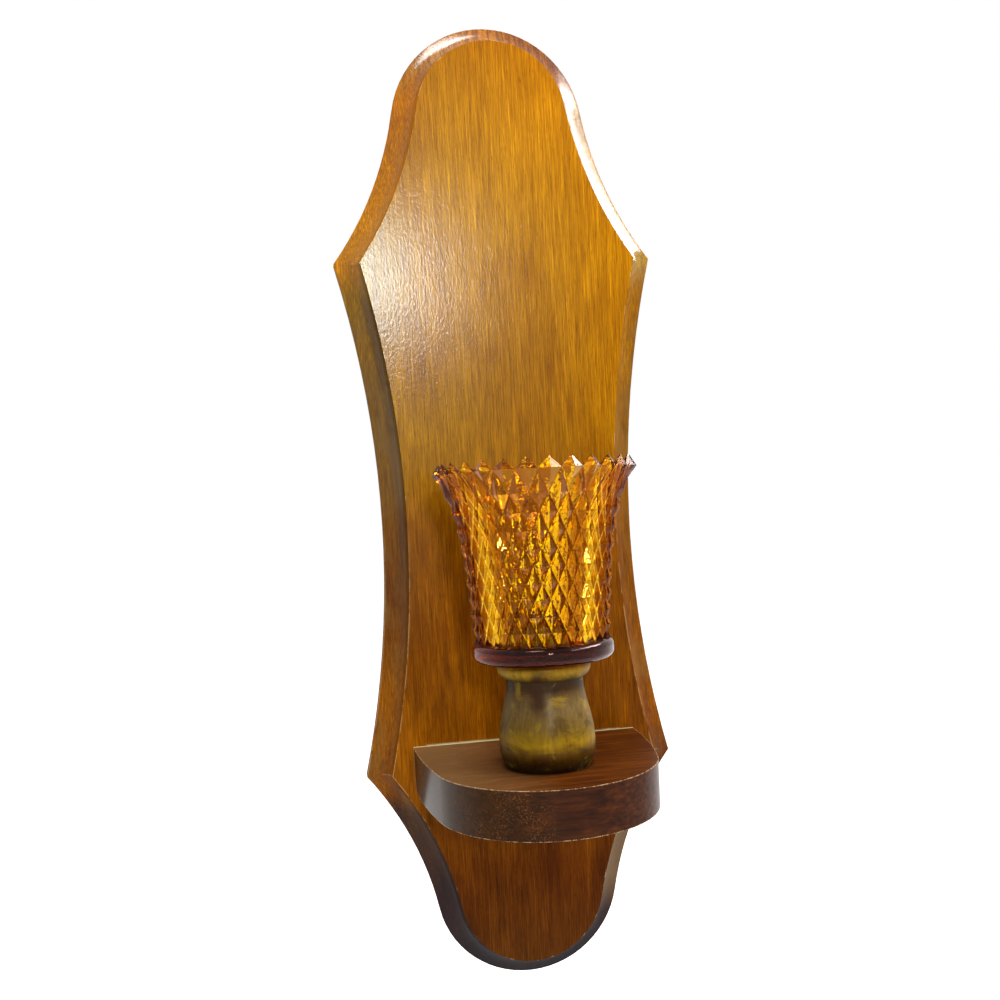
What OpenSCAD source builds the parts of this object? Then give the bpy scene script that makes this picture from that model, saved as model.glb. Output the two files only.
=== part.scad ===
// Wooden wall sconce with a turned post and a diamond-point glass votive cup.
// Millimetres. +Z is up, +X is to the right and the wall is at +Y.
// The origin is the centre of the keyhole's round hole, on the plane of the wall.

/* [Backboard] */
// Height of the backboard from end to end
board_h = 420; // [400:1:460]
// Width of the backboard from ear to ear
board_w = 140; // [132:1:150]
// Width of the backboard at its waist
waist_w = 112; // [106:1:120]
// Thickness of the backboard
board_t = 19; // [17:0.5:25]
// Radius of the round lobe at each end
lobe_r = 42; // [38:0.5:46]
// Height from the lower ears to the upper ears
ear_span = 224; // [210:1:236]
// Radius of the hollow curve between a lobe and an ear
flank_r = 148; // [130:1:180]
// Radius of the cove along the edge
cove_r = 12.7; // [11:0.1:14]
// Width of the cove, measured on the front face
cove_w = 9.8; // [8:0.1:10.8]

/* [Shelf] */
// Height of the shelf's top above the board's lower end
shelf_rise = 112.6; // [100:0.2:130]
// Width of the shelf where it meets the board
shelf_w = 99; // [94:0.5:104]
// Depth of the shelf from the board to its front
shelf_d = 89; // [84:0.5:98]
// Thickness of the shelf
shelf_t = 19; // [17:0.5:24]
// Radius of the shelf's round front
shelf_front_r = 45; // [40:0.5:46]

/* [Candle post] */
// Distance from the board's face to the axis of the post
post_out = 50; // [46:0.5:54]
// Height of the post
post_h = 41.4; // [38:0.2:50]
// Radius of the bead at the top of the post
bead_r = 18.4; // [17.5:0.1:20]
// Height of the bead
bead_h = 6.2; // [5:0.1:7.2]
// Depth of the bead's widest place below the post's top
bead_drop = 2; // [1.4:0.1:3.6]
// How far the bead rounds in at the post's top
bead_lip = 1.6; // [0.8:0.1:2.2]
// Radius of the post's neck
neck_r = 15.2; // [14:0.1:16]
// Depth of the neck below the post's top
neck_drop = 7.8; // [7.4:0.1:10]
// Radius of the post's belly
belly_r = 19; // [17.5:0.1:22]
// Height of the belly's widest place above the foot
belly_rise = 8; // [6:0.1:12]
// Radius of the post's foot
foot_r = 16.6; // [13:0.1:17]
// Radius of the socket in the top of the post
socket_r = 11; // [10.4:0.1:11.6]
// Depth of the socket
socket_d = 15; // [13:0.5:18]

/* [Votive cup] */
// Number of diamonds round the cup
diamonds = 28; // [20:1:32]
// Angle in degrees that the cup stands turned by
cup_turned = 3.9; // [0:0.1:12]
// Rows of whole diamonds between the base and the rim
diamond_rows = 9; // [7:1:9]
// Height from the lowest row of diamonds to the next
row_h = 5.9; // [5:0.1:6.2]
// How much each such height is more than the one below it
row_grow = 0.12; // [0:0.02:0.3]
// How far a diamond's point stands out of its grooves
point_h = 2.2; // [1.4:0.1:2.6]
// Height of the glass above its base, to the low points of the rim
rim_h = 65.6; // [62:0.2:70]
// Height of the teeth above the low points of the rim
tooth_h = 4.2; // [3:0.1:5]
// How far a tooth's tip leans in from the diamond's point below it
tooth_lean = 2.6; // [1.5:0.1:3]
// Radius to the points, just above the base
cup_foot_r = 26.8; // [25:0.1:28]
// How much the cup widens evenly up to the rim
cup_taper = 5; // [3:0.1:7]
// How much the rim flares beyond that
cup_flare = 7.8; // [4:0.1:9]
// Thickness of the glass behind the grooves
glass_wall = 1.5; // [1.4:0.1:2.2]
// Radius of the heavy ring at the cup's base
base_r = 27.9; // [27:0.1:30]
// Height of the base ring
base_h = 7.4; // [6.5:0.1:9]
// Height of the cup's floor above the underside of the base
floor_h = 5.6; // [4:0.1:6]
// Radius of the glass peg under the cup
peg_r = 7.8; // [7:0.1:8.4]
// Length of the glass peg
peg_h = 12.5; // [10:0.5:12.5]

/* [Peg ring] */
// Height of the rubber ring inside the socket
ring_h = 9; // [7:0.5:9.5]
// Radius of the rubber ring's flange
ring_flange_r = 13.4; // [12.6:0.1:14]
// Thickness of the rubber ring's flange
ring_flange_h = 1; // [0.8:0.1:1.5]

/* [Wood screws] */
// Radius of the shank of a wood screw
shank_r = 2.1; // [1.8:0.1:2.4]
// Radius of the head of a wood screw
head_r = 4.1; // [3.8:0.1:4.5]
// Height of the head of a wood screw
head_h = 2.8; // [2.4:0.1:3.2]
// Depth of the counterbores for the heads
counterbore_d = 4.4; // [4:0.1:5]
// Length of each shelf screw under its head
shelf_screw_l = 36; // [30:1:40]
// Distance between the two shelf screws
shelf_screw_gap = 56; // [44:1:64]
// Length of the post screw under its head
post_screw_l = 31; // [28:0.5:32]

/* [Keyhole hanger] */
// Distance from the board's top end to the keyhole
hang_drop = 60; // [52:1:75]
// Width of the hanger
hanger_w = 16; // [15:0.5:18]
// Distance between the hanger's two screws
hanger_screw_gap = 40; // [38:0.5:46]
// Thickness of the hanger
hanger_t = 1.5; // [1.2:0.1:1.8]
// Radius of the keyhole's round hole
keyhole_r = 5; // [4.6:0.1:5.4]
// Width of the keyhole's slot
keyhole_slot_w = 4.6; // [4.2:0.1:5]
// Height from the round hole's centre to the top of the slot
keyhole_rise = 10; // [9:0.5:11]
// Depth of the hollow behind the keyhole
head_room = 7; // [6:0.5:8]
// Radius of the shank of a hanger screw
hanger_shank_r = 1.4; // [1.2:0.1:1.6]
// Radius of the head of a hanger screw
hanger_head_r = 2.7; // [2.4:0.1:2.9]
// Length of a hanger screw
hanger_screw_l = 11; // [9:0.5:12]

/* [Fits] */
// Gap all round between the peg, the rubber ring and the socket
running_gap = 0.05; // [0.02:0.01:0.08]
// Gap all round between a screw and its hole
screw_gap = 0.05; // [0.02:0.01:0.1]
// Gap all round between a screw head or the hanger and its recess
recess_gap = 0.3; // [0.1:0.1:0.5]

/* [Hidden] */

$fn = 96;
// Facets of the long shallow curves
fine = 240;
// How far a cutter runs past the face that it opens
past = 1;

// Levels, from the keyhole down
board_mid_z = hang_drop - board_h / 2;
board_low_z = hang_drop - board_h;
shelf_top_z = board_low_z + shelf_rise;
post_top_z = shelf_top_z + post_h;
cup_z = post_top_z + ring_flange_h;
post_y = -board_t - post_out;

// The outline's arcs, measured from the middle of the board
ear = [board_w / 2, ear_span / 2];
lobe_y = board_h / 2 - lobe_r;
ear_dist = norm(ear - [0, lobe_y]);
ear_dir = (ear - [0, lobe_y]) / ear_dist;
flank_along = ((lobe_r + flank_r) ^ 2 - flank_r ^ 2 + ear_dist ^ 2) / (2 * ear_dist);
flank_off = sqrt((lobe_r + flank_r) ^ 2 - flank_along ^ 2);
flank_c = [0, lobe_y] + flank_along * ear_dir + flank_off * [-ear_dir[1], ear_dir[0]];
flank_from_lobe = atan2(flank_c[1] - lobe_y, flank_c[0]);
waist_in = (board_w - waist_w) / 2;
side_r = (ear[1] ^ 2 + waist_in ^ 2) / (2 * waist_in);
side_c = [waist_w / 2 + side_r, 0];
// How far the cove's centre lies outside the edge, and where its arc ends
cove_out = cove_r - cove_w;
cove_end = acos(cove_out / cove_r);
// Steps along each arc of the outline and of the cove
lobe_steps = 14;
flank_steps = 12;
side_steps = 10;
cove_steps = 7;

// The shelf's straight-backed D, from its back corners
shelf_front_y = shelf_d - shelf_front_r;
shelf_side_r = ((shelf_w / 2) ^ 2 + shelf_front_y ^ 2 - shelf_front_r ^ 2) / (shelf_w - 2 * shelf_front_r);
shelf_side_c = shelf_side_r - shelf_w / 2;
shelf_join_y = shelf_front_y * shelf_side_r / (shelf_side_r - shelf_front_r);

// Heights on the post of its neck and of the bead's widest place
neck_z = post_h - neck_drop;
bead_z = post_h - bead_drop;
// Steps along each curve of the post
post_steps = 10;
// Above 1, the belly stays fuller towards the neck
belly_full = 1.25;

// How far the glass wall runs into the base ring and its lip into the cavity
glass_overlap = 0.6;
// Levels in the cup, from the underside of its base
rim_z = base_h + rim_h;
tip_z = rim_z + tooth_h;
row_0_z = base_h - glass_overlap;
cavity_steps = 14;
// Above 1, the flare keeps to the rim
flare_power = 5;
peg_tip_r = 1.6;
ring_edge_r = 2.6;

// Rest of the counterbore, between a wood screw's head and the face of the wood
head_sunk = counterbore_d - head_h;
// Rounding of a wood screw's head, as a bevel
head_bevel = 0.9;
// Length of a screw's point, in radii of its shank
point_share = 2.5;
// A cross recess: its reach in head radii, its arms' width in reaches and its depth in head heights
cross_reach = 0.6;
cross_arm = 0.4;
cross_depth = 0.6;
// How far the hollow behind the keyhole runs past the round hole
hollow_margin = 1.5;

function smooth(t) = t * t * (3 - 2 * t);
function polar(r, a) = [r * cos(a), r * sin(a)];

// Backboard. Each quarter of its outline is three arcs, drawn d inside the edge, so that the
// same points at every depth of the cove lie side by side and the cove mitres at the ears.
function arc(c, r, a0, a1, steps, first) = [
    for (i = [first : steps])
        c + polar(r, a0 + (a1 - a0) * i / steps)
];
// Where the flank's and the side's circles cross, d inside the edge
function ear_at(d) =
    let (
        gap = norm(side_c - flank_c),
        way = (side_c - flank_c) / gap,
        along = ((flank_r + d) ^ 2 - (side_r + d) ^ 2 + gap ^ 2) / (2 * gap)
    )
    flank_c + along * way + sqrt((flank_r + d) ^ 2 - along ^ 2) * [way[1], -way[0]];
function from_c(p, c) = (atan2(p[1] - c[1], p[0] - c[0]) + 360) % 360;
function quarter(d) =
    let (tip = ear_at(d))
    concat(
        arc([0, lobe_y], lobe_r - d, 90, flank_from_lobe, lobe_steps, 0),
        arc(flank_c, flank_r + d, 180 + flank_from_lobe, from_c(tip, flank_c), flank_steps, 1),
        arc(side_c, side_r + d, from_c(tip, side_c), 180, side_steps, 1)
    );
function reversed(list, first) = [for (i = [first : len(list) - 1]) list[len(list) - 1 - i]];
// Right side from the top to the bottom
function half_outline(d) =
    let (q = quarter(d))
    concat(q, [for (p = reversed(q, 1)) [p[0], -p[1]]]);
// Clockwise all round, from the top
function outline(d) =
    let (h = half_outline(d), n = len(h))
    concat(h, [for (i = [1 : n - 2]) [-h[n - 1 - i][0], h[n - 1 - i][1]]]);

// The edge from the back face to the front: how far inside the outline, and how high
function cove_point(a) = [cove_r * cos(a) - cove_out, board_t - cove_r * sin(a)];
edge_profile = concat(
    [[0, 0]],
    [for (k = [0 : cove_steps]) cove_point(cove_end * (1 - k / cove_steps))]
);

module coved_board() {
    rings = len(edge_profile);
    half_n = len(half_outline(0));
    n = 2 * half_n - 2;
    points = [for (e = edge_profile) each [for (p = outline(e[0])) [p[0], p[1], e[1]]]];
    walls = [
        for (k = [0 : rings - 2], i = [0 : n - 1])
            let (a = k * n + i, b = k * n + (i + 1) % n)
            each [[a, b + n, b], [a, a + n, b + n]]
    ];
    // Strips from the right side across to the left
    caps = [
        for (i = [0 : half_n - 2])
            let (l = (n - i) % n, m = n - i - 1, top = (rings - 1) * n)
            each [
                [for (v = [i, i + 1, m, l]) v],
                [for (v = [l, m, i + 1, i]) top + v]
            ]
    ];
    polyhedron(points = points, faces = concat(walls, caps), convexity = 6);
}

// Stands a shape drawn on the floor up against the wall
module on_wall(z) {
    translate([0, 0, z])
        rotate([90, 0, 0])
            children();
}

module keyhole_2d(r, slot_w, rise) {
    circle(r = r);
    translate([-slot_w / 2, 0])
        square([slot_w, rise - slot_w / 2]);
    translate([0, rise - slot_w / 2])
        circle(d = slot_w);
}

module hanger_2d(grow) {
    reach = hanger_screw_gap / 2;
    mid = keyhole_rise / 2;
    translate([0, mid + reach])
        circle(r = hanger_w / 2 + grow);
    translate([0, mid - reach])
        circle(r = hanger_w / 2 + grow);
    translate([-hanger_w / 2 - grow, mid - reach])
        square([hanger_w + 2 * grow, 2 * reach]);
}

// The hollow that a wall screw's head slides up in
module head_hollow_2d() {
    r = keyhole_r + hollow_margin;
    circle(r = r);
    translate([-r, 0])
        square([2 * r, keyhole_rise - keyhole_slot_w / 2]);
    translate([0, keyhole_rise - keyhole_slot_w / 2])
        circle(r = r);
}

module at_hanger_screws(sides) {
    for (s = sides)
        translate([0, 0, keyhole_rise / 2 + s * hanger_screw_gap / 2])
            rotate([90, 0, 0])
                children();
}

module at_shelf_screws(sides) {
    for (s = sides)
        translate([s * shelf_screw_gap / 2, 0, shelf_top_z - shelf_t / 2])
            rotate([90, 0, 0])
                children();
}

module screw_hole(l) {
    translate([0, 0, -past])
        cylinder(h = counterbore_d + past, r = head_r + recess_gap);
    cylinder(h = counterbore_d + l + screw_gap, r = shank_r + screw_gap);
}

module backboard() {
    color([0.72, 0.40, 0.10])
        difference() {
            on_wall(board_mid_z)
                coved_board();
            on_wall(0)
                translate([0, 0, -past])
                    linear_extrude(hanger_t + past)
                        hanger_2d(recess_gap);
            on_wall(0)
                linear_extrude(hanger_t + head_room)
                    head_hollow_2d();
            at_hanger_screws([-1, 1])
                cylinder(h = hanger_screw_l + screw_gap, r = hanger_shank_r + screw_gap);
            at_shelf_screws([-1, 1])
                screw_hole(shelf_screw_l);
        }
}

// Shelf
module shelf_outline() {
    intersection() {
        union() {
            intersection() {
                translate([-shelf_side_c, 0])
                    circle(r = shelf_side_r, $fn = fine);
                translate([shelf_side_c, 0])
                    circle(r = shelf_side_r, $fn = fine);
                translate([-shelf_w, -shelf_join_y])
                    square([2 * shelf_w, shelf_join_y]);
            }
            translate([0, -shelf_front_y])
                circle(r = shelf_front_r, $fn = fine);
        }
        translate([-shelf_w, -2 * shelf_d])
            square([2 * shelf_w, 2 * shelf_d]);
    }
}

module shelf() {
    color([0.36, 0.15, 0.07])
        difference() {
            translate([0, -board_t, shelf_top_z - shelf_t])
                linear_extrude(shelf_t)
                    shelf_outline();
            at_shelf_screws([-1, 1])
                screw_hole(shelf_screw_l);
            translate([0, post_y, shelf_top_z - shelf_t])
                screw_hole(post_screw_l);
        }
}

// Candle post, turned between its foot and the bead that carries the cup
function post_foot() = [
    for (i = [0 : post_steps])
        let (t = i / post_steps)
        [belly_r - (belly_r - foot_r) * (1 - t) ^ 2, belly_rise * t]
];
function post_belly() = [
    for (i = [1 : post_steps])
        let (t = i / post_steps)
        [belly_r - (belly_r - neck_r) * smooth(t ^ belly_full), belly_rise + (neck_z - belly_rise) * t]
];
function post_bead() = [
    for (i = [0 : post_steps])
        let (t = i / post_steps)
        [neck_r + (bead_r - neck_r) * sin(90 * t), bead_z - (bead_h - bead_drop) * cos(90 * t)]
];
function post_lip() = [
    for (i = [1 : post_steps])
        let (t = i / post_steps)
        [bead_r - bead_lip * (1 - cos(90 * t)), bead_z + bead_drop * sin(90 * t)]
];

module candle_post() {
    color([0.55, 0.42, 0.12])
        translate([0, post_y, shelf_top_z])
            difference() {
                rotate_extrude()
                    polygon(concat(
                        [[0, 0]],
                        post_foot(),
                        post_belly(),
                        post_bead(),
                        post_lip(),
                        [[0, post_h]]
                    ));
                translate([0, 0, post_h - socket_d])
                    cylinder(h = socket_d + past, r = socket_r);
                translate([0, 0, -shelf_t])
                    screw_hole(post_screw_l);
            }
}

// Rubber ring that grips the peg in the socket
module peg_ring() {
    color([0.12, 0.10, 0.09])
        translate([0, post_y, post_top_z])
            difference() {
                union() {
                    translate([0, 0, -ring_h])
                        cylinder(h = ring_h, r = socket_r - running_gap);
                    cylinder(h = ring_flange_h, r = ring_flange_r);
                }
                translate([0, 0, -ring_h - past])
                    cylinder(h = ring_h + ring_flange_h + 2 * past, r = peg_r + running_gap);
            }
}

// Votive cup. The points of the diamonds lie on this flared profile.
function share(z) = (z - base_h) / rim_h;
function point_r(z) = cup_foot_r + cup_taper * share(z) + cup_flare * max(0, share(z)) ^ flare_power;
function groove_r(z) = point_r(z) - point_h;
function inner_r(z) = groove_r(min(z, rim_z)) - glass_wall;
function row_z(j) = j > diamond_rows ? rim_z : row_0_z + j * row_h + j * (j - 1) / 2 * row_grow;
function turn(i, j) = cup_turned + 360 / diamonds * (i + (abs(j) % 2) / 2);
function groove_at(i, j) = [each polar(groove_r(row_z(j)), turn(i, j)), row_z(j)];
function point_at(i, j) = [each polar(point_r(row_z(j)), turn(i + 0.5, j)), row_z(j)];

// Index of a groove crossing: row -1 lies inside the base, the last row is the rim
rows_all = diamond_rows + 3;
function groove_n(i, j) = (j + 1) * diamonds + (i + diamonds) % diamonds;
function point_n(i, j) = (rows_all + j) * diamonds + (i + diamonds) % diamonds;
function lip_n(i) = (2 * rows_all - 1) * diamonds + (i + diamonds) % diamonds;
function tip_n(i) = 2 * rows_all * diamonds + i;
low_n = (2 * rows_all + 1) * diamonds;
// A crossing one row up or down sits half a diamond along
function above(i, j) = groove_n(abs(j) % 2 == 0 ? i : i + 1, j + 1);
function below(i, j) = groove_n(abs(j) % 2 == 0 ? i : i + 1, j - 1);

module diamond_glass() {
    last = diamond_rows + 1;
    lip_in = inner_r(rim_z) - glass_overlap;
    tip_r = point_r(rim_z) - tooth_lean;
    points = concat(
        [for (j = [-1 : last], i = [0 : diamonds - 1]) groove_at(i, j)],
        [for (j = [0 : last], i = [0 : diamonds - 1]) point_at(i, j)],
        [for (i = [0 : diamonds - 1]) [each polar(lip_in, turn(i, last)), rim_z]],
        [for (i = [0 : diamonds - 1]) [each polar(tip_r, turn(i + 0.5, last)), tip_z]],
        [[0, 0, row_z(-1)]]
    );
    facets = [
        for (j = [0 : last - 1], i = [0 : diamonds - 1])
            each [
                [point_n(i, j), above(i, j), groove_n(i + 1, j)],
                [point_n(i, j), groove_n(i, j), above(i, j)],
                [point_n(i, j), below(i, j), groove_n(i, j)],
                [point_n(i, j), groove_n(i + 1, j), below(i, j)]
            ]
    ];
    teeth = [
        for (i = [0 : diamonds - 1])
            each [
                [point_n(i, last), below(i, last), groove_n(i, last)],
                [point_n(i, last), groove_n(i + 1, last), below(i, last)],
                [point_n(i, last), groove_n(i, last), tip_n(i)],
                [point_n(i, last), tip_n(i), groove_n(i + 1, last)],
                [tip_n(i), groove_n(i, last), lip_n(i)],
                [tip_n(i), lip_n(i), lip_n(i + 1)],
                [tip_n(i), lip_n(i + 1), groove_n(i + 1, last)]
            ]
    ];
    closing = concat(
        [[for (i = [0 : diamonds - 1]) lip_n(diamonds - 1 - i)]],
        [
            for (i = [0 : diamonds - 1])
                each [
                    [low_n, groove_n(i, 0), below(i, 0)],
                    [low_n, below(i, 0), groove_n(i + 1, 0)]
                ]
        ]
    );
    polyhedron(points = points, faces = concat(facets, teeth, closing), convexity = 10);
}

module base_ring_2d() {
    square([base_r - ring_edge_r, base_h]);
    translate([0, ring_edge_r])
        square([base_r, base_h - 2 * ring_edge_r]);
    for (z = [ring_edge_r, base_h - ring_edge_r])
        translate([base_r - ring_edge_r, z])
            circle(r = ring_edge_r, $fn = 48);
}

module peg_2d() {
    translate([0, -peg_h + peg_tip_r])
        square([peg_r, peg_h - peg_tip_r + past]);
    translate([0, -peg_h])
        square([peg_r - peg_tip_r, peg_tip_r + past]);
    translate([peg_r - peg_tip_r, -peg_h + peg_tip_r])
        circle(r = peg_tip_r, $fn = 48);
}

module cup_cavity() {
    step = (tip_z + 2 * past - floor_h) / cavity_steps;
    rotate_extrude()
        polygon(concat(
            [[0, floor_h]],
            [for (i = [0 : cavity_steps]) [inner_r(floor_h + i * step), floor_h + i * step]],
            [[0, tip_z + 2 * past]]
        ));
}

module votive_cup() {
    color([0.85, 0.50, 0.05, 0.6])
        translate([0, post_y, cup_z])
            difference() {
                union() {
                    diamond_glass();
                    rotate_extrude() {
                        base_ring_2d();
                        peg_2d();
                    }
                }
                cup_cavity();
            }
}

// Screws. Each is drawn with its head's outer face at z = 0 and its shank upwards.
module cross_recess(r, h) {
    reach = cross_reach * r;
    arm = cross_arm * reach;
    for (a = [0, 90])
        rotate([0, 0, a])
            translate([-reach, -arm / 2, -past])
                cube([2 * reach, arm, cross_depth * h + past]);
}

module wood_screw(l) {
    difference() {
        rotate_extrude()
            polygon([
                [0, 0], [head_r - head_bevel, 0], [head_r, head_bevel], [head_r, head_h],
                [shank_r, head_h], [shank_r, head_h + l - point_share * shank_r], [0, head_h + l]
            ]);
        cross_recess(head_r, head_h);
    }
}

module shelf_screw(side) {
    color([0.75, 0.70, 0.55])
        at_shelf_screws([side])
            translate([0, 0, head_sunk])
                wood_screw(shelf_screw_l);
}

module shelf_screw_left() {
    shelf_screw(-1);
}

module shelf_screw_right() {
    shelf_screw(1);
}

module post_screw() {
    color([0.75, 0.70, 0.55])
        translate([0, post_y, shelf_top_z - shelf_t + head_sunk])
            wood_screw(post_screw_l);
}

// Keyhole hanger, let in flush with the back of the board
module keyhole_hanger() {
    color([0.80, 0.68, 0.35])
        difference() {
            on_wall(0)
                linear_extrude(hanger_t)
                    difference() {
                        hanger_2d(0);
                        keyhole_2d(keyhole_r, keyhole_slot_w, keyhole_rise);
                    }
            at_hanger_screws([-1, 1])
                hanger_screw_seat();
        }
}

module hanger_screw_seat() {
    translate([0, 0, -past])
        cylinder(h = hanger_t + 2 * past, r = hanger_shank_r + screw_gap);
    cylinder(h = hanger_t, r1 = hanger_head_r + screw_gap, r2 = hanger_shank_r + screw_gap);
}

module hanger_screw(side) {
    color([0.80, 0.72, 0.45])
        at_hanger_screws([side])
            difference() {
                rotate_extrude()
                    polygon([
                        [0, 0], [hanger_head_r, 0], [hanger_shank_r, hanger_t],
                        [hanger_shank_r, hanger_screw_l - point_share * hanger_shank_r], [0, hanger_screw_l]
                    ]);
                cross_recess(hanger_head_r, hanger_t);
            }
}

module hanger_screw_upper() {
    hanger_screw(1);
}

module hanger_screw_lower() {
    hanger_screw(-1);
}

backboard();
shelf();
candle_post();
peg_ring();
votive_cup();
shelf_screw_left();
shelf_screw_right();
post_screw();
keyhole_hanger();
hanger_screw_upper();
hanger_screw_lower();
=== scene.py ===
"""Looks of the candle wall sconce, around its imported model. Metres, +Z up, the wall at +Y."""

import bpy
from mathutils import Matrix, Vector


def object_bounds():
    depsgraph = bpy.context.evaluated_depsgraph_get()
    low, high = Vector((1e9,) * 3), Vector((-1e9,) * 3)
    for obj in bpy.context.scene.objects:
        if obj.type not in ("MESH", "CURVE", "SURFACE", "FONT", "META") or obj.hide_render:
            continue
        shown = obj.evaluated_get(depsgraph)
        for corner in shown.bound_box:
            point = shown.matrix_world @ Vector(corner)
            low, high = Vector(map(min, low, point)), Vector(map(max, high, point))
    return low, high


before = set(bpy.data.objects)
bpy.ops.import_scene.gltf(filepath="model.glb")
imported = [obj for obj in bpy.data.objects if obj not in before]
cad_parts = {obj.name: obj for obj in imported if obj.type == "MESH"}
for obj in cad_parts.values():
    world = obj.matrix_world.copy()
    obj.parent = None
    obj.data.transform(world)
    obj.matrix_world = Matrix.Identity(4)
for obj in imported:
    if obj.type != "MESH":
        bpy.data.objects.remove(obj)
cad_box = [list(corner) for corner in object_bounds()]

import math
from types import SimpleNamespace

import bpy
from mathutils import Matrix, Vector

MM = 0.001

# Camera
CAMERA_AT = Vector((-80.7, -467.2, -143.8)) * MM
CAMERA_YAW = -0.1618
CAMERA_PITCH = -0.0827
CAMERA_ROLL = 0.0542
FOCAL_PIXELS = 1042.2
IMAGE_PIXELS = 1000
SENSOR = 36.0
SHIFT_UP = 0.09


def make_camera():
    data = bpy.data.cameras.new("camera")
    data.sensor_width = SENSOR
    data.lens = FOCAL_PIXELS / IMAGE_PIXELS * SENSOR
    data.shift_y = SHIFT_UP
    data.clip_start = 0.01
    data.clip_end = 50.0
    camera = bpy.data.objects.new("camera", data)
    bpy.context.scene.collection.objects.link(camera)
    upright = Matrix.Rotation(math.radians(90), 4, "X")
    turn = (
        Matrix.Rotation(CAMERA_YAW, 4, "Z")
        @ Matrix.Rotation(CAMERA_PITCH, 4, "X")
        @ Matrix.Rotation(CAMERA_ROLL, 4, "Y")
    )
    camera.matrix_world = Matrix.Translation(CAMERA_AT) @ turn @ upright
    bpy.context.scene.camera = camera


make_camera()


# Materials
class Graph:
    """A material's node tree, with short calls for the nodes that repeat."""

    def __init__(self, name):
        self.material = bpy.data.materials.new(name)
        self.material.use_nodes = True
        self.tree = self.material.node_tree
        self.tree.nodes.clear()
        self.out = self.tree.nodes.new("ShaderNodeOutputMaterial")
        self.place = self.tree.nodes.new("ShaderNodeTexCoord").outputs["Object"]

    def put(self, socket, value):
        if isinstance(value, bpy.types.NodeSocket):
            self.tree.links.new(value, socket)
        else:
            socket.default_value = value

    def node(self, kind, inputs=(), **settings):
        made = self.tree.nodes.new("ShaderNode" + kind)
        for key, value in settings.items():
            setattr(made, key, value)
        for key, value in dict(inputs).items():
            self.put(made.inputs[key], value)
        return made

    def axes(self):
        return self.node("SeparateXYZ", {"Vector": self.place}).outputs

    def math(self, operation, a, b=0.0, c=0.0):
        made = self.node("Math", operation=operation)
        for socket, value in zip(made.inputs, (a, b, c)):
            self.put(socket, value)
        return made.outputs[0]

    def times(self, first, *others):
        for other in others:
            first = self.math("MULTIPLY", first, other)
        return first

    def rest(self, value):
        """What is left of 1."""
        return self.math("SUBTRACT", 1.0, value)

    def span(self, value, start, end):
        """0 where the value is at start, rising to 1 where it is at end, which may be the lower one."""
        return self.node("MapRange", {"Value": value, "From Min": start, "From Max": end}).outputs["Result"]

    def length(self, vector):
        made = self.node("VectorMath", operation="LENGTH")
        self.put(made.inputs[0], vector)
        return made.outputs["Value"]

    def off_axis(self, node):
        """The way out from the upright axis in the middle of a node."""
        x, y, _ = self.axes()
        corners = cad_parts[node].bound_box
        middle = [sum(corner[k] for corner in corners) / len(corners) for k in (0, 1)]
        out = {"X": self.math("SUBTRACT", x, middle[0]), "Y": self.math("SUBTRACT", y, middle[1])}
        return self.node("CombineXYZ", out).outputs[0]

    def scaled(self, scale):
        """Object coordinates in millimetres, times scale along each axis."""
        inputs = {"Vector": self.place, "Scale": [s / MM for s in scale]}
        return self.node("Mapping", inputs).outputs["Vector"]

    def noise(self, scale, detail=2.0, roughness=0.5, distortion=0.0):
        """Noise whose features measure about 1 / scale millimetres along each axis."""
        return self.node(
            "TexNoise",
            {
                "Vector": self.scaled(scale),
                "Scale": 1.0,
                "Detail": detail,
                "Roughness": roughness,
                "Distortion": distortion,
            },
        ).outputs["Fac"]

    def ramp(self, factor, *stops):
        """Stops are (place, number) or (place, (r, g, b))."""
        made = self.node("ValToRGB", {"Fac": factor})
        band = made.color_ramp
        while len(band.elements) < len(stops):
            band.elements.new(0.5)
        for element, (at, value) in zip(band.elements, stops):
            element.position = at
            grey = isinstance(value, (int, float))
            element.color = (value, value, value, 1.0) if grey else (*value, 1.0)
        return made.outputs["Color"]

    def mix(self, factor, a, b, blend="MIX"):
        made = self.node("Mix", data_type="RGBA", blend_type=blend)
        colours = [s for s in made.inputs if s.type == "RGBA"]
        self.put(made.inputs[0], factor)
        self.put(colours[0], a if isinstance(a, bpy.types.NodeSocket) else (*a, 1.0))
        self.put(colours[1], b if isinstance(b, bpy.types.NodeSocket) else (*b, 1.0))
        return [s for s in made.outputs if s.type == "RGBA"][0]

    def dye(self, amount, colour, by):
        """The colour multiplied by another one, as far as the amount says."""
        return self.mix(amount, colour, by, "MULTIPLY")

    def bump(self, height, distance, strength):
        inputs = {"Height": height, "Distance": distance, "Strength": strength}
        return self.node("Bump", inputs).outputs["Normal"]

    def finish(self, **inputs):
        shader = self.node("BsdfPrincipled", {key.replace("_", " "): v for key, v in inputs.items()})
        self.tree.links.new(shader.outputs["BSDF"], self.out.inputs["Surface"])
        return self.material


def srgb(red, green, blue):
    """A colour given as it is seen, 0 to 255."""
    return tuple(
        c / 12.92 if c <= 0.04045 else ((c + 0.055) / 1.055) ** 2.4
        for c in (red / 255, green / 255, blue / 255)
    )


def extents(node, axis):
    """The lowest and highest place of a node along an axis, as its material sees them."""
    places = [corner["xyz".index(axis)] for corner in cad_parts[node].bound_box]
    return min(places), max(places)


def edge_mask(g, radius):
    """1 along sharp edges, 0 elsewhere, measured by how far a rounded edge would turn the surface."""
    rounded = g.node("Bevel", {"Radius": radius}, samples=6).outputs["Normal"]
    flat = g.node("NewGeometry").outputs["Normal"]
    same = g.node("VectorMath", operation="DOT_PRODUCT")
    g.put(same.inputs[0], rounded)
    g.put(same.inputs[1], flat)
    return g.ramp(same.outputs["Value"], (0.80, 1.0), (0.995, 0.0))


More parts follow.
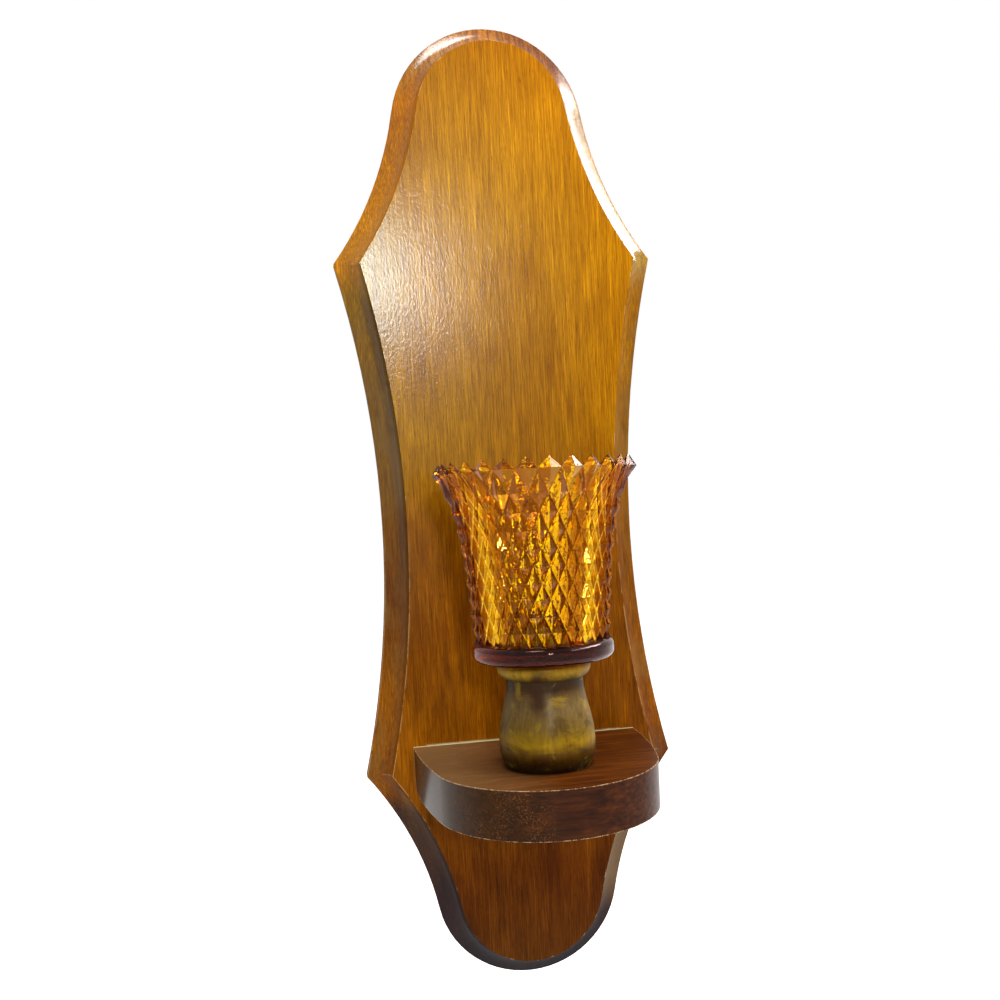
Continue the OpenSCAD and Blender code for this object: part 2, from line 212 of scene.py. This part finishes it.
# The board. Heights on it are shares of its own: its ears are at 0.23 and 0.77, its shelf's top at 0.27.
# Its back is the plane y = 0, and its flat side starts behind the cove, 6.6 mm in front of the back.
BACK_FADES_IN = (-0.6 * MM, -0.2 * MM)
SIDE_FADES_IN = (-7.0 * MM, -6.4 * MM)
# How far behind the board's front the cove fades in, and over what depth it darkens and lightens again
COVE_FADES_IN = (0.2 * MM, 1.4 * MM)
COVE_DARK_DEPTH = 10.0 * MM
# The glue line over the shelf: from below its top to above it, and its half length with its end faded
GLUE_RISES = (-0.2 * MM, 0.6 * MM)
GLUE_ENDS = (44.0 * MM, 43.0 * MM)
# The oval over which the sheen by the upper left ear fades: its middle and half its size, along x and z
SHEEN_AT = (-65.4 * MM, -44.3 * MM)
SHEEN_REACH = (117.0 * MM, 168.6 * MM)
# How far in from an arris the wood is chipped, and how far it is worn along the lower arrises
CHIP_WIDTH = 0.6 * MM
WORN_WIDTH = 1.1 * MM


def board_zones(g):
    """Where on the board a point is: x, z, its share of the height, and zones that are 1 inside."""
    x, y, z = g.axes()
    front = extents("backboard", "y")[0]
    behind = g.span(y, *BACK_FADES_IN)
    in_sight = g.rest(behind)
    return SimpleNamespace(
        x=x,
        z=z,
        height=g.span(z, *extents("backboard", "z")),
        to_right=g.span(x, -20 * MM, 45 * MM),
        left=g.span(x, 10 * MM, -10 * MM),
        right=g.span(x, 10 * MM, 20 * MM),
        right_of_top=g.span(x, 2 * MM, 14 * MM),
        behind=behind,
        in_sight=in_sight,
        lacquered=g.rest(g.span(y, *SIDE_FADES_IN)),
        cove=g.times(g.span(y, front + COVE_FADES_IN[0], front + COVE_FADES_IN[1]), in_sight),
        into_cove=g.span(y, front, front + COVE_DARK_DEPTH),
    )


def board_stain_and_painted_light(g, at):
    """Honey at the top and brown at the foot, partly stain and partly painted light that falls off down the
    board, in slow patches, and with a painted shadow of the cup low on the right.
    """
    # The height gradient is partly stain and partly painted light, brighter towards the top
    stain = g.ramp(
        at.height,
        (0.00, srgb(72, 38, 6)),
        (0.13, srgb(88, 42, 0)),
        (0.27, srgb(134, 76, 1)),
        (0.37, srgb(119, 66, 0)),
        (0.50, srgb(122, 70, 0)),
        (0.58, srgb(146, 93, 1)),
        (0.80, srgb(166, 106, 1)),
        (1.00, srgb(171, 103, 0)),
    )
    # Painted shadow of the cup: darker low on the right
    low = g.ramp(at.height, (0.14, 0.0), (0.22, 0.85), (0.40, 0.4), (0.50, 0.0))
    stain = g.dye(g.times(at.to_right, low), stain, (0.55, 0.48, 0.50))
    patches = g.noise((0.020, 0.020, 0.012), detail=3.0, roughness=0.6)
    stain = g.dye(g.ramp(patches, (0.36, 0.50), (0.52, 0.0)), stain, (0.66, 0.52, 0.50))
    return g.dye(g.ramp(patches, (0.52, 0.0), (0.70, 0.50)), stain, (1.20, 1.23, 1.0))


def board_grain(g, at, stain):
    """Growth bands, fibres, pores, threads and a figure low down; gives the fibres and pores too."""
    bands = g.noise((0.60, 0.60, 0.010), detail=3.0, roughness=0.55, distortion=0.2)
    stain = g.dye(g.ramp(bands, (0.36, 0.28), (0.52, 0.0)), stain, (0.70, 0.62, 0.50))
    stain = g.dye(g.ramp(bands, (0.56, 0.0), (0.70, 0.5)), stain, (1.28, 1.28, 1.2))
    fibres = g.noise((2.8, 2.8, 0.065), detail=3.0, roughness=0.65)
    stain = g.dye(g.ramp(fibres, (0.34, 0.85), (0.54, 0.0)), stain, (0.58, 0.50, 0.45))
    stain = g.dye(g.ramp(fibres, (0.54, 0.0), (0.70, 0.95)), stain, (1.44, 1.51, 2.1))
    pores = g.ramp(g.noise((4.2, 4.2, 0.25)), (0.60, 0.0), (0.68, 0.6))
    stain = g.dye(pores, stain, (0.38, 0.28, 0.20))
    threads = g.noise((1.9, 1.9, 0.030))
    stain = g.dye(g.ramp(threads, (0.57, 0.0), (0.66, 0.8)), stain, (1.42, 1.47, 2.4))
    low_half = g.ramp(at.height, (0.22, 1.0), (0.50, 0.6), (0.70, 0.2))
    figure = g.noise((0.13, 0.13, 0.030), detail=4.0, roughness=0.65, distortion=0.2)
    dark_figure = g.times(low_half, g.ramp(figure, (0.36, 0.8), (0.50, 0.0)))
    stain = g.dye(dark_figure, stain, (0.58, 0.52, 0.50))
    pale_figure = g.times(low_half, g.ramp(figure, (0.52, 0.0), (0.66, 0.7)))
    return g.dye(pale_figure, stain, (1.35, 1.42, 1.6)), fibres, pores


def cove_stain_and_painted_light(g, at, stain):
    """The cove is painted darker as painted shade, slate at the foot with a painted grey reflection, orange
    above the left ear, and rubbed in places.
    """
    # Painted shade with a painted grey reflection at the foot of the cove: darker, bluer and greyer
    foot_painted_shade_and_haze = g.math("MAXIMUM", at.left, g.ramp(at.height, (0.05, 1.0), (0.10, 0.2)))
    foot_painted_shade_and_haze = g.times(at.cove, foot_painted_shade_and_haze, g.ramp(at.height, (0.0, 0.9), (0.195, 0.8), (0.21, 0.0)))
    stain = g.dye(foot_painted_shade_and_haze, stain, (0.60, 0.80, 3.0))
    # Painted shade along the bottom, where the cove faces down
    bottom_painted_shade = g.times(at.cove, g.ramp(at.height, (0.03, 1.0), (0.07, 0.0)))
    stain = g.dye(bottom_painted_shade, stain, (0.55, 0.85, 1.0))
    stain = g.mix(g.times(foot_painted_shade_and_haze, 0.22), stain, srgb(72, 68, 64))
    # Painted shade in the cove, darkest at the foot and just below the ears
    shade = g.ramp(
        at.height, (0.03, 1.0), (0.195, 1.0), (0.21, 0.20), (0.27, 0.10),
        (0.45, 0.30), (0.58, 0.60), (0.73, 0.65), (0.76, 0.0),
    )
    stain = g.dye(g.times(at.cove, shade), stain, (0.50, 0.52, 0.90))
    above_ear = g.ramp(at.height, (0.735, 0.0), (0.76, 1.0), (0.93, 1.0), (0.96, 0.0))
    stain = g.dye(g.times(at.cove, at.left, above_ear), stain, (1.26, 1.03, 0.9))
    # Painted shade, darkest in its inner corner, below the left ear
    corner_painted_shade = g.ramp(at.into_cove, (0.02, 0.0), (0.06, 1.0), (0.80, 0.8), (0.98, 0.0))
    below_ear = g.ramp(at.height, (0.20, 0.25), (0.40, 0.35), (0.60, 0.7), (0.72, 0.9), (0.74, 0.15))
    stain = g.dye(g.times(corner_painted_shade, at.left, below_ear), stain, (0.34, 0.32, 0.34))
    # Round the head, a painted purple-brown glare on the right, and streaked by end grain
    head_painted_glare = g.times(at.right_of_top, g.ramp(at.height, (0.92, 0.0), (0.945, 0.9)))
    stain = g.dye(g.times(at.cove, head_painted_glare), stain, (0.52, 0.40, 0.60))
    streaks = g.ramp(g.noise((1.1, 0.10, 0.10), detail=3.0, roughness=0.6), (0.46, 0.8), (0.54, 0.0))
    at_head = g.ramp(at.height, (0.93, 0.0), (0.96, 1.0))
    stain = g.dye(g.times(at.cove, at_head, streaks), stain, (0.45, 0.34, 0.30))
    rubbed = g.ramp(g.noise((0.06, 0.06, 0.028), detail=5.0, roughness=0.65), (0.46, 0.0), (0.62, 0.45))
    rubbed = g.times(rubbed, g.ramp(at.height, (0.19, 0.15), (0.215, 1.0), (0.74, 1.0), (0.77, 0.35)))
    return g.mix(g.times(at.cove, rubbed), stain, srgb(112, 80, 34))


def board_wear(g, at, stain):
    """Chips along the arrises, a thin worn line along the lower ones, and pale glue over the shelf."""
    chips = g.ramp(g.noise((0.22, 0.22, 0.09), detail=5.0, roughness=0.7), (0.56, 0.0), (0.62, 0.8))
    stain = g.mix(g.times(edge_mask(g, CHIP_WIDTH), chips), stain, srgb(220, 188, 140))
    low_arris = g.ramp(at.height, (0.205, 0.0), (0.22, 0.8), (0.44, 0.8), (0.50, 0.0))
    broken = g.ramp(g.noise((0.20, 0.20, 0.08), detail=4.0, roughness=0.6), (0.42, 0.0), (0.52, 1.0))
    worn_line = g.times(edge_mask(g, WORN_WIDTH), low_arris, at.in_sight, broken)
    stain = g.mix(worn_line, stain, srgb(190, 152, 100))
    shelf_top = extents("shelf", "z")[1]
    glue = g.span(at.z, shelf_top + GLUE_RISES[0], shelf_top + GLUE_RISES[1])
    glue = g.ramp(glue, (0.0, 0.0), (0.1, 1.0), (0.7, 1.0), (1.0, 0.0))
    along = g.span(g.math("ABSOLUTE", at.x), *GLUE_ENDS)
    uneven = g.ramp(g.noise((0.12, 0.12, 0.12), detail=3.0), (0.34, 0.2), (0.50, 0.9))
    glue = g.times(glue, along, uneven, g.rest(at.cove), at.in_sight)
    return g.mix(glue, stain, srgb(150, 142, 104))


def board_sheen(g, at, stain):
    """The lacquer is thick by the upper left ear and along parts of the cove, and thin elsewhere.

    The stain is painted paler and bluer under the sheen and the glare, as painted highlights, and pale on the
    right cove below the shelf as a painted reflection; the function gives both the stain and the lacquer's
    weight.
    """
    off_x = g.math("DIVIDE", g.math("SUBTRACT", at.x, SHEEN_AT[0]), SHEEN_REACH[0])
    off_z = g.math("DIVIDE", g.math("SUBTRACT", at.z, SHEEN_AT[1]), SHEEN_REACH[1])
    from_ear = g.length(g.node("CombineXYZ", {"X": off_x, "Z": off_z}).outputs[0])
    lacquer_and_painted_sheen = g.ramp(from_ear, (0.08, 0.40), (0.38, 0.36), (0.60, 0.27), (0.78, 0.17), (1.0, 0.035))
    lacquer_and_painted_sheen = g.times(lacquer_and_painted_sheen, g.ramp(at.height, (0.20, 0.4), (0.42, 1.0)), at.in_sight)
    # Painted sheen: the stain paler and bluer by the upper left ear and under the lacquer's sheen
    ear_painted_sheen = g.times(g.ramp(from_ear, (0.05, 1.0), (0.30, 0.0)), at.in_sight, g.rest(at.cove))
    stain = g.dye(ear_painted_sheen, stain, (0.72, 1.0, 1.8))
    stain = g.dye(lacquer_and_painted_sheen, stain, (0.56, 1.06, 3.0))
    # Painted reflection: pale on the right cove below the shelf
    painted_glint_below_shelf = g.ramp(at.height, (0.06, 0.0), (0.10, 0.45), (0.18, 0.45), (0.20, 0.0))
    stain = g.mix(g.times(at.cove, at.right, painted_glint_below_shelf), stain, srgb(118, 98, 72))
    flare = g.ramp(at.height, (0.735, 0.0), (0.76, 1.0), (0.93, 1.0), (0.95, 0.1))
    flare = g.times(at.right, flare, at.lacquered)
    # Painted glare: the stain whiter and bluer under the flare on the upper right cove
    stain = g.dye(g.times(at.cove, flare), stain, (0.66, 0.90, 1.8))
    on_cove = g.ramp(
        at.height, (0.25, 0.10), (0.50, 0.09), (0.72, 0.09),
        (0.75, 0.04), (0.93, 0.04), (0.95, 0.22), (0.97, 0.7),
    )
    on_cove = g.times(at.cove, g.math("ADD", on_cove, flare))
    return stain, g.times(g.math("ADD", lacquer_and_painted_sheen, on_cove), at.lacquered)


def board_wood():
    g = Graph("board_wood")
    at = board_zones(g)
    stain = board_stain_and_painted_light(g, at)
    stain, fibres, pores = board_grain(g, at, stain)
    stain = cove_stain_and_painted_light(g, at, stain)
    stain = board_wear(g, at, stain)
    stain, lacquer = board_sheen(g, at, stain)
    # The flat sides and the back are stained but not lacquered, and the back is duller
    stain = g.dye(at.behind, stain, (0.62, 0.66, 0.80))
    grain = g.math("SUBTRACT", g.times(fibres, 0.5), g.times(pores, 0.9))
    ripple = g.noise((0.9, 0.9, 0.55), detail=3.0, roughness=0.6)
    lacquer_height = g.math("ADD", ripple, g.times(fibres, 0.35))
    return g.finish(
        Base_Color=stain,
        Roughness=0.5,
        Specular_IOR_Level=0.02,
        Normal=g.bump(grain, 0.08 * MM, 0.6),
        Coat_Weight=lacquer,
        Coat_Roughness=0.15,
        Coat_IOR=1.5,
        Coat_Normal=g.bump(lacquer_height, 0.09 * MM, 0.7),
    )


# The shelf. It meets the board at the board's front, and the pale glue fades in just before that.
JOINT_FADES_IN = (-2.2 * MM, -1.2 * MM)
# From below the level of its top up to it
TOP_FADES_IN = (-0.5 * MM, -0.1 * MM)
# Its top darkens from here toward the room
FRONT_DARKENS = (-78.0 * MM, -100.0 * MM)
# The painted shadow round the post's foot: how far from the post's axis it has gone, and where it is full
POST_SHADOW_FADES_IN = (19.0 * MM, 17.2 * MM)
# About half its width, as a measure for where its gloss and its crazing lie
SHELF_REACH = 50.0 * MM
SHELF_CHIP_WIDTH = 0.7 * MM


def crazing(g, x):
    """Fine specks where the lacquer has crazed, left of the middle."""
    cells = g.node(
        "TexVoronoi", {"Vector": g.scaled((1.6, 1.6, 2.2)), "Scale": 1.0}, feature="DISTANCE_TO_EDGE"
    ).outputs["Distance"]
    broken = g.ramp(g.noise((1.3, 1.3, 1.3), detail=3.0, roughness=0.7), (0.52, 0.0), (0.58, 1.0))
    left = g.ramp(g.span(x, 0.0, -SHELF_REACH), (0.05, 0.0), (0.25, 1.0), (0.60, 0.9), (0.85, 0.0))
    patch = g.ramp(g.noise((0.10, 0.10, 0.10), detail=3.0, roughness=0.6), (0.42, 0.0), (0.56, 1.0))
    return g.times(g.ramp(cells, (0.02, 1.0), (0.09, 0.0)), broken, left, patch)


def shelf_wood():
    g = Graph("shelf_wood")
    x, y, z = g.axes()
    top = extents("shelf", "z")[1]
    on_top = g.span(z, top + TOP_FADES_IN[0], top + TOP_FADES_IN[1])
    rim = g.rest(on_top)
    to_left = g.span(x, 0.0, -40 * MM)
    streaks = g.noise((0.03, 0.55, 0.55), detail=4.0, roughness=0.6, distortion=0.3)
    stain = g.ramp(streaks, (0.30, srgb(46, 22, 5)), (0.52, srgb(78, 38, 7)), (0.75, srgb(108, 56, 10)))
    stain = g.dye(rim, stain, (0.46, 0.44, 0.70))
    stain = g.mix(g.times(rim, to_left, 0.55), stain, srgb(54, 38, 12))
    blotches = g.noise((0.03, 0.04, 0.04), detail=3.0)
    stain = g.dye(g.ramp(blotches, (0.40, 0.5), (0.62, 0.0)), stain, (0.62, 0.54, 0.56))
    # Paler and greyer on the left of the top: partly rubbed wood and partly painted sheen
    stain = g.mix(g.times(on_top, to_left, 0.75), stain, srgb(110, 82, 50))
    scuffs = g.noise((0.10, 0.16, 0.16), detail=5.0, roughness=0.65, distortion=0.6)
    stain = g.dye(g.ramp(scuffs, (0.52, 0.0), (0.66, 0.5)), stain, (1.5, 1.5, 1.7))
    stain = g.dye(g.times(on_top, g.span(y, *FRONT_DARKENS), 0.7), stain, (0.66, 0.60, 0.50))
    # Painted shadow of the post on the shelf's top, round its foot
    post_painted_shadow = g.times(g.span(g.length(g.off_axis("candle_post")), *POST_SHADOW_FADES_IN), 0.9)
    stain = g.dye(g.times(on_top, post_painted_shadow), stain, (0.36, 0.32, 0.32))
    pores = g.noise((0.14, 2.4, 2.4))
    stain = g.mix(g.ramp(pores, (0.62, 0.0), (0.72, 0.5)), stain, srgb(34, 14, 8))
    stain = g.mix(g.times(crazing(g, x), rim, 0.55), stain, srgb(150, 100, 50))
    chips = g.ramp(g.noise((0.4, 0.4, 0.4), detail=5.0, roughness=0.75), (0.46, 0.1), (0.56, 0.95))
    stain = g.mix(g.times(edge_mask(g, SHELF_CHIP_WIDTH), chips), stain, srgb(214, 176, 132))
    board_front = extents("backboard", "y")[0]
    joint = g.span(y, board_front + JOINT_FADES_IN[0], board_front + JOINT_FADES_IN[1])
    stain = g.mix(g.times(joint, 0.8), stain, srgb(186, 178, 138))
    # Glossier round the ends of the rim and on the left of the top
    from_middle = g.math("ABSOLUTE", g.math("DIVIDE", x, SHELF_REACH))
    ends = g.ramp(from_middle, (0.60, 0.0), (0.85, 0.30))
    gloss = g.math("ADD", g.times(rim, ends), g.times(on_top, to_left, 0.25))
    return g.finish(
        Base_Color=stain,
        Roughness=0.5,
        Specular_IOR_Level=0.02,
        Normal=g.bump(pores, 0.08 * MM, 0.5),
        Coat_Weight=g.math("ADD", gloss, 0.08),
        Coat_Roughness=0.14,
        Coat_Normal=g.bump(g.noise((0.8, 0.8, 0.8), detail=3.0), 0.06 * MM, 0.5),
    )


# The post: how far its stain swirls up and down, and the dark run's wandering, place and width
SWIRL_RISE = 5.0 * MM
RUN_WANDER = 4.0 * MM
RUN_LEFT = 3.6 * MM
RUN_WIDTH = 5.0 * MM


def post_stain_and_painted_light(g, level):
    """Dark at the foot, partly stain and partly painted shade, then a golden band and an olive body, paler
    and bluer halfway up as a painted sheen.
    """
    return g.ramp(
        level,
        (0.02, srgb(34, 20, 6)),
        (0.12, srgb(56, 34, 4)),
        (0.20, srgb(84, 57, 2)),
        (0.27, srgb(134, 102, 2)),
        (0.33, srgb(118, 90, 8)),
        (0.42, srgb(98, 75, 24)),
        (0.60, srgb(98, 78, 42)),
        (0.75, srgb(82, 62, 30)),
    )


def post_bead(g, height):
    """Dark in the neck, partly stain and partly painted shade in the groove, with a gold band round the bead.
    """
    return g.ramp(
        height,
        (0.70, srgb(78, 58, 26)),
        (0.77, srgb(56, 37, 11)),
        (0.845, srgb(44, 28, 10)),
        (0.875, srgb(96, 70, 14)),
        (0.93, srgb(142, 112, 16)),
        (1.00, srgb(92, 66, 14)),
    )


def post_wood():
    g = Graph("post_wood")
    x, _, z = g.axes()
    ends = extents("candle_post", "z")
    height = g.span(z, *ends)
    swirl = g.noise((0.09, 0.09, 0.12), detail=4.0, roughness=0.55, distortion=1.2)
    swirled_z = g.math("ADD", z, g.math("MULTIPLY_ADD", swirl, SWIRL_RISE, -SWIRL_RISE / 2))
    stain = post_stain_and_painted_light(g, g.span(swirled_z, *ends))
    stain = g.mix(g.ramp(height, (0.68, 0.0), (0.76, 1.0)), stain, post_bead(g, height))
    streaks = g.noise((0.9, 0.9, 0.06), detail=4.0, roughness=0.6, distortion=0.3)
    stain = g.dye(g.ramp(streaks, (0.36, 0.5), (0.56, 0.0)), stain, (0.66, 0.58, 0.42))
    stain = g.dye(g.ramp(streaks, (0.52, 0.0), (0.70, 0.5)), stain, (1.20, 1.25, 1.5))
    runs = g.noise((0.07, 0.07, 0.10), detail=5.0, roughness=0.6, distortion=1.0)
    stain = g.dye(g.ramp(runs, (0.38, 0.7), (0.46, 0.0)), stain, (0.50, 0.42, 0.32))
    stain = g.mix(g.ramp(runs, (0.56, 0.0), (0.66, 0.5)), stain, srgb(148, 120, 24))
    # A dark run of stain down the front, left of the middle
    off_run = g.math("ABSOLUTE", g.math("ADD", x, g.math("MULTIPLY_ADD", swirl, RUN_WANDER, RUN_LEFT)))
    across = g.ramp(g.math("DIVIDE", off_run, RUN_WIDTH), (0.20, 0.9), (0.75, 0.0))
    down = g.ramp(height, (0.50, 0.0), (0.62, 1.0), (0.90, 1.0), (0.97, 0.3))
    stain = g.mix(g.times(across, down), stain, srgb(50, 29, 12))
    return g.finish(
        Base_Color=stain,
        Roughness=0.45,
        Specular_IOR_Level=0.05,
        Normal=g.bump(streaks, 0.06 * MM, 0.4),
        Coat_Weight=0.09,
        Coat_Roughness=0.32,
    )


# The cup's sizes that its glass is coloured by
PEG_LENGTH = 12.5 * MM
BASE_HEIGHT = 7.4 * MM
RIM_HEIGHT = 65.6 * MM
GROOVE_RADIUS = 24.6 * MM
POINT_HEIGHT = 2.2 * MM
CUP_TAPER = 5.0 * MM
CUP_FLARE = 7.8 * MM
FLARE_POWER = 5.0
# Over this height the colour of the base changes into that of the wall
BASE_BLEND = 1.0 * MM
# The glass takes blue out of what goes through it: the colour that passes, and the density per metre
AMBER = (0.97, 0.92, 0.0, 1.0)
AMBER_DENSITY = 400.0


def groove_mask(g, z, outward, base_top):
    """1 in the grooves between the diamonds, where the glass is thin, and 0 on their faces."""
    share = g.math("DIVIDE", g.math("SUBTRACT", z, base_top), RIM_HEIGHT)
    flare = g.times(g.math("POWER", g.math("MAXIMUM", share, 0.0), FLARE_POWER), CUP_FLARE)
    groove_radius = g.math("ADD", g.math("MULTIPLY_ADD", share, CUP_TAPER, GROOVE_RADIUS), flare)
    above_groove = g.math("DIVIDE", g.math("SUBTRACT", g.length(outward), groove_radius), POINT_HEIGHT)
    centred = g.math("MULTIPLY_ADD", above_groove, 0.5, 0.5)
    return g.ramp(centred, (0.38, 0.0), (0.46, 1.0), (0.53, 1.0), (0.59, 0.0))


def amber_glass():
    g = Graph("amber_glass")
    z = g.axes()["Z"]
    base_top = extents("votive_cup", "z")[0] + PEG_LENGTH + BASE_HEIGHT
    outward = g.off_axis("votive_cup")
    # How far the round wall of the cup, without its facets, turns away from the eye
    round_normal = g.node(
        "VectorTransform", {"Vector": outward},
        vector_type="NORMAL", convert_from="OBJECT", convert_to="WORLD",
    ).outputs[0]
    turned = g.node("LayerWeight", {"Blend": 0.5, "Normal": round_normal}).outputs["Facing"]
    # Golden face on and red-brown at the sides, where the glass is seen through its depth
    tint = g.ramp(turned, (0.10, (0.92, 0.70, 0.09)), (0.24, (0.70, 0.38, 0.04)), (0.40, (0.22, 0.05, 0.015)))
    tint = g.mix(groove_mask(g, z, outward, base_top), tint, (1.0, 0.70, 0.38))
    glint = g.ramp(turned, (0.10, (0.9, 0.48, 0.10)), (0.40, (0.30, 0.10, 0.02)))
    above_base = g.span(z, base_top, base_top + BASE_BLEND)
    # Pressed glass is never quite flat, so that its glints break up
    ripple = g.noise((0.6, 0.6, 0.6), detail=1.0)
    material = g.finish(
        Base_Color=g.mix(above_base, (0.42, 0.10, 0.09), tint),
        Roughness=0.0,
        IOR=1.42,
        Transmission_Weight=1.0,
        Specular_Tint=g.mix(above_base, (0.70, 0.36, 0.32), glint),
        Normal=g.bump(ripple, 0.18 * MM, 0.5),
    )
    amber = g.node("VolumeAbsorption", {"Color": AMBER, "Density": AMBER_DENSITY})
    g.tree.links.new(amber.outputs["Volume"], g.out.inputs["Volume"])
    return material


def ring_rubber():
    g = Graph("ring_rubber")
    speckle = g.noise((2.0, 2.0, 2.0), detail=3.0)
    return g.finish(
        Base_Color=g.ramp(speckle, (0.35, (0.012, 0.011, 0.010)), (0.65, (0.030, 0.027, 0.024))),
        Roughness=0.7,
        Normal=g.bump(speckle, 0.05 * MM, 0.5),
    )


def plated(name, dark, lacquer_and_painted_sheen):
    """Metal plating, duller and rougher where it is tarnished."""
    g = Graph(name)
    brushed = g.noise((0.4, 0.4, 3.0), detail=3.0)
    tarnish = g.noise((0.2, 0.2, 0.2), detail=4.0)
    return g.finish(
        Base_Color=g.ramp(tarnish, (0.35, dark), (0.62, lacquer_and_painted_sheen)),
        Metallic=1.0,
        Roughness=g.ramp(tarnish, (0.35, 0.50), (0.65, 0.28)),
        Normal=g.bump(brushed, 0.02 * MM, 0.4),
    )


# Pieces
WELD_DISTANCE = 0.005 * MM
SOFT_SEGMENTS = 2
# How wide each softened edge is, and from what angle an edge counts as sharp
BOARD_EDGE = 0.4 * MM
SHELF_EDGE = 0.5 * MM
WOOD_SHARP = 32
GLASS_EDGE = 0.22 * MM
GLASS_SHARP = 13
SCREWS = ("shelf_screw_left", "shelf_screw_right", "post_screw", "hanger_screw_upper", "hanger_screw_lower")


def soften(node, width, sharp):
    """Rounds a node's sharp edges by a bevel that leaves its mesh as it is."""
    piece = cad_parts[node]
    weld = piece.modifiers.new("weld", "WELD")
    weld.merge_threshold = WELD_DISTANCE
    bevel = piece.modifiers.new("bevel", "BEVEL")
    bevel.width = width
    bevel.segments = SOFT_SEGMENTS
    bevel.limit_method = "ANGLE"
    bevel.angle_limit = math.radians(sharp)
    for polygon in piece.data.polygons:
        polygon.use_smooth = True
    weighted = piece.modifiers.new("weighted", "WEIGHTED_NORMAL")
    weighted.keep_sharp = True


def paint(node, material):
    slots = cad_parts[node].data.materials
    slots.clear()
    slots.append(material)


paint("backboard", board_wood())
paint("shelf", shelf_wood())
paint("candle_post", post_wood())
paint("votive_cup", amber_glass())
paint("peg_ring", ring_rubber())
steel = plated("screw_steel", (0.40, 0.34, 0.20), (0.72, 0.66, 0.48))
for screw in SCREWS:
    paint(screw, steel)
paint("keyhole_hanger", plated("hanger_brass", (0.48, 0.34, 0.12), (0.80, 0.62, 0.28)))
soften("backboard", BOARD_EDGE, WOOD_SHARP)
soften("shelf", SHELF_EDGE, WOOD_SHARP)
soften("votive_cup", GLASS_EDGE, GLASS_SHARP)


# Stage
WORLD_LIGHT = 0.32
WORLD_COLOUR = (1.0, 0.98, 0.95, 1.0)
WHITE = (1.0, 1.0, 1.0, 1.0)
FLOOR_SIZE = 60.0
FLOOR_DROP = 0.25
FLOOR_COLOUR = (0.80, 0.80, 0.80, 1.0)
# Light that the floor adds for the eye, below the part and far from it, and how far off each is reached
FLOOR_GLOW = (0.45, 0.85)
GLOW_REACH = (0.4, 2.2)


def seen_directly(tree):
    """1 for rays that see a surface from the camera, in a mirror or through glass."""
    path = tree.nodes.new("ShaderNodeLightPath")
    total = path.outputs["Is Camera Ray"]
    for ray in ("Is Glossy Ray", "Is Transmission Ray"):
        either = tree.nodes.new("ShaderNodeMath")
        either.operation = "MAXIMUM"
        tree.links.new(total, either.inputs[0])
        tree.links.new(path.outputs[ray], either.inputs[1])
        total = either.outputs[0]
    return total


def make_stage():
    bpy.ops.mesh.primitive_plane_add(size=FLOOR_SIZE, location=(0.0, 0.0, cad_box[0][2] - FLOOR_DROP))
    floor = bpy.context.object
    floor.name = "floor"
    g = Graph("floor")
    matt = g.node("BsdfDiffuse", {"Color": FLOOR_COLOUR})
    away = g.span(g.length(g.node("NewGeometry").outputs["Position"]), *GLOW_REACH)
    fade = g.math("MULTIPLY_ADD", away, FLOOR_GLOW[1] - FLOOR_GLOW[0], FLOOR_GLOW[0])
    glow = g.node("Emission", {"Strength": g.times(seen_directly(g.tree), fade)})
    both = g.node("AddShader")
    g.tree.links.new(matt.outputs[0], both.inputs[0])
    g.tree.links.new(glow.outputs[0], both.inputs[1])
    g.tree.links.new(both.outputs[0], g.out.inputs["Surface"])
    floor.data.materials.append(g.material)


def background(tree, colour, strength):
    made = tree.nodes.new("ShaderNodeBackground")
    made.inputs["Color"].default_value = colour
    made.inputs["Strength"].default_value = strength
    return made.outputs[0]


def make_world():
    world = bpy.data.worlds.new("world")
    bpy.context.scene.world = world
    world.use_nodes = True
    tree = world.node_tree
    tree.nodes.clear()
    out = tree.nodes.new("ShaderNodeOutputWorld")
    mix = tree.nodes.new("ShaderNodeMixShader")
    tree.links.new(seen_directly(tree), mix.inputs[0])
    tree.links.new(background(tree, WORLD_COLOUR, WORLD_LIGHT), mix.inputs[1])
    tree.links.new(background(tree, WHITE, 1.0), mix.inputs[2])
    tree.links.new(mix.outputs[0], out.inputs[0])


def area_light(name, toward, direction, distance, size, watts):
    """A lamp at a distance from the place whose sheen it makes, in the direction from there to it."""
    data = bpy.data.lights.new(name, "AREA")
    data.shape = "RECTANGLE"
    data.size, data.size_y = size
    data.energy = watts
    lamp = bpy.data.objects.new(name, data)
    bpy.context.scene.collection.objects.link(lamp)
    way = Vector(direction).normalized()
    lamp.location = Vector(toward) * MM + way * distance
    lamp.rotation_mode = "QUATERNION"
    lamp.rotation_quaternion = (-way).to_track_quat("-Z", "Y")


make_stage()
make_world()
area_light(
    "front_window", toward=(-64, -19, -45), direction=(0.015, -0.98, 0.207),
    distance=2.2, size=(0.20, 0.20), watts=21.0,
)
area_light(
    "overhead", toward=(-20, -19, 50), direction=(-0.17, -0.28, 0.94),
    distance=1.6, size=(0.5, 0.9), watts=28.0,
)
area_light(
    "right_window", toward=(50, -19, 0), direction=(0.75, -0.16, 0.57),
    distance=1.8, size=(2.1, 0.44), watts=62.0,
)

bpy.context.scene.view_settings.view_transform = "Standard"
